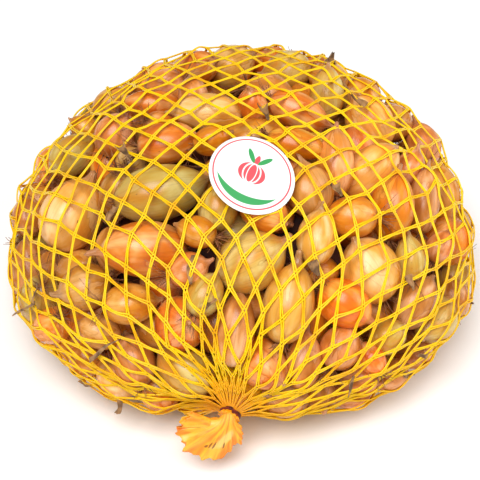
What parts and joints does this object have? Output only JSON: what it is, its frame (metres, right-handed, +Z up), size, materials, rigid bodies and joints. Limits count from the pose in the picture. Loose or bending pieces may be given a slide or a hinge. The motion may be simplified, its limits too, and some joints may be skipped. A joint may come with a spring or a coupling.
{
  "type": "net of onion sets",
  "caption": "Low dome of small seed onions in a diamond-mesh tubular net, gathered and tied at both ends, with a round paper label on top.",
  "frame": {"origin": "middle of the flat spot that the bag rests on, on the ground", "axes": "+Z up out of the top of the bag, -Y towards the tied end that shows, +X to the right seen from there"},
  "size_m": [0.1798, 0.1985, 0.0968],
  "materials": {
    "onion_skin": "dry papery onion skin with a satin sheen, golden to brown",
    "net_yarn": "yellow knitted polyethylene yarn",
    "tie": "dark red-brown winding",
    "net_tail": "orange-yellow film-like net end, slightly see-through",
    "label_paper": "white coated paper with a plain printed motif"
  },
  "bodies": {
    "root": {"onion_heap": "onion_skin", "front_neck": "net_yarn", "front_tie": "tie", "front_tail": "net_tail", "back_neck": "net_yarn", "back_tie": "tie", "back_tail": "net_tail", "label": "label_paper"}
  },
  "joints": []
}
